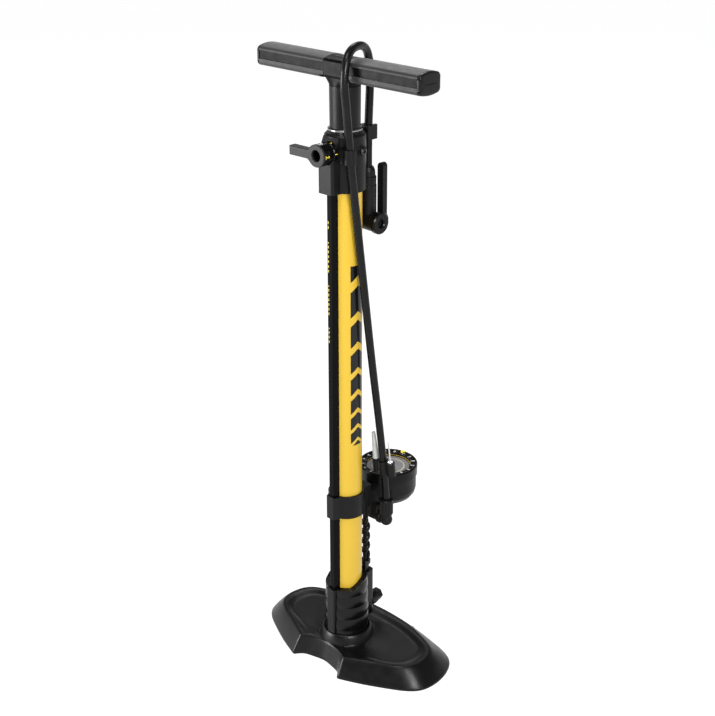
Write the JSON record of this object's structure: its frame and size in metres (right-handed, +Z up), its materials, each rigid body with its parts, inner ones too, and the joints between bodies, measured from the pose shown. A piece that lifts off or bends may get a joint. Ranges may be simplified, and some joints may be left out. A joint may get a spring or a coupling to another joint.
{
  "type": "floor bike pump",
  "caption": "Upright floor pump with a T handle, yellow barrel, winged base, side air rail, rear gauge, selector lever and a hose looped over the handle.",
  "frame": {"origin": "on the floor under the barrel's axis, in the middle of the centre pad's underside", "axes": "+Z up along the barrel, +X along the handle, -Y to the front with the foot notch and side rail, +Y to the gauge"},
  "size_m": [0.2624, 0.167, 0.7489],
  "materials": {
    "base_plastic": "satin moulded black",
    "black_plastic": "satin black",
    "barrel_paint": "gloss yellow",
    "rail_black": "gloss black",
    "grip": "soft satin",
    "hose_rubber": "satin black",
    "soft_rubber": "matt",
    "steel": "plated",
    "black_steel": "blackened",
    "silver_ring": "bright",
    "brass": "plain",
    "inner_plastic": "moulded",
    "marker": "yellow",
    "pointer_black": "black",
    "lens": "clear",
    "nozzle_grey": "grey"
  },
  "bodies": {
    "root": {"base_plate": "base_plastic", "foot_pads": "soft_rubber", "centre_pad": "black_plastic", "base_bolt": "steel", "boot": "black_plastic", "barrel": "barrel_paint", "side_rail": "rail_black", "check_seat": "brass", "check_spring": "steel", "check_plug": "black_plastic", "transfer_hose": "hose_rubber", "hose_ferrule": "black_steel", "spiral_guard": "hose_rubber", "gauge_band": "black_plastic", "gauge_cup": "black_plastic", "dial_plate": "silver_ring", "dial_ring": "black_plastic", "gauge_lens": "lens", "bourdon_tube": "brass", "gauge_movement": "brass", "hose_elbow": "black_plastic", "hose_nut": "black_plastic", "hose_lower": "hose_rubber", "hose_loop": "hose_rubber", "accessory_holder": "black_plastic", "top_cap": "black_plastic", "guide_bush": "black_plastic", "cap_screw": "black_steel", "selector_housing": "black_plastic", "hose_hook": "black_plastic", "rear_clip": "black_plastic", "head_collar": "black_plastic", "head_body": "black_plastic", "head_gasket": "soft_rubber", "head_ring": "black_plastic"},
    "plunger": {"plunger_rod": "steel", "piston": "inner_plastic", "piston_ring": "soft_rubber", "top_out_sleeve": "soft_rubber", "handle_stem": "black_plastic", "stem_ring": "silver_ring", "handle_bar": "black_plastic", "handle_screw": "steel", "grip_upper": "grip", "grip_lower": "grip", "grip_caps": "grip"},
    "selector": {"selector_knob": "black_plastic", "selector_body": "black_plastic"},
    "head_lever": {"head_lever": "black_plastic"},
    "head_plunger": {"head_plunger": "black_plastic"},
    "bezel": {"gauge_bezel": "black_plastic", "set_marker": "marker"},
    "pointer": {"gauge_pointer": "pointer_black"},
    "check_ball": {"check_ball": "steel"},
    "nozzle": {"bladder_nozzle": "nozzle_grey"},
    "needle": {"ball_needle": "steel"}
  },
  "joints": [
    {"name": "handle_slide", "type": "slide", "parent": "root", "child": "plunger", "axis": [0, 0, 1], "range_m": [0, 0.48], "deforming": ["hose_loop"]},
    {"name": "selector_turn", "type": "hinge", "parent": "root", "child": "selector", "pos_m": [0, -0.03, 0.6345], "axis": [0, -1, 0], "range_deg": [0, 90]},
    {"name": "head_lever_turn", "type": "hinge", "parent": "root", "child": "head_lever", "pos_m": [0.011, 0.045, 0.548], "axis": [0, -1, 0], "range_deg": [0, 90]},
    {"name": "head_plunger_slide", "type": "slide", "parent": "root", "child": "head_plunger", "axis": [1, 0, 0], "range_m": [0, 0.0026]},
    {"name": "bezel_turn", "type": "hinge", "parent": "root", "child": "bezel", "pos_m": [0, 0.0736, 0.225], "axis": [0, 0, 1], "continuous": true},
    {"name": "pointer_turn", "type": "hinge", "parent": "root", "child": "pointer", "pos_m": [0, 0.0736, 0.2275], "axis": [0, 0, -1], "range_deg": [0, 308]},
    {"name": "check_ball_lift", "type": "slide", "parent": "root", "child": "check_ball", "axis": [0, 1, 0], "range_m": [0, 0.002], "stiffness_N_per_m": 20, "springref_m": -0.002, "deforming": ["check_spring"]},
    {"name": "nozzle_pull", "type": "slide", "parent": "root", "child": "nozzle", "axis": [-0.0089, -0.1302, 0.9914], "range_m": [0, 0.04]},
    {"name": "needle_pull", "type": "slide", "parent": "root", "child": "needle", "axis": [-0.0089, -0.1302, 0.9914], "range_m": [0, 0.04]}
  ],
  "couplings": [
    {"joint": "head_plunger_slide", "follows": "head_lever_turn", "m_per_rad": 0.0016552}
  ]
}
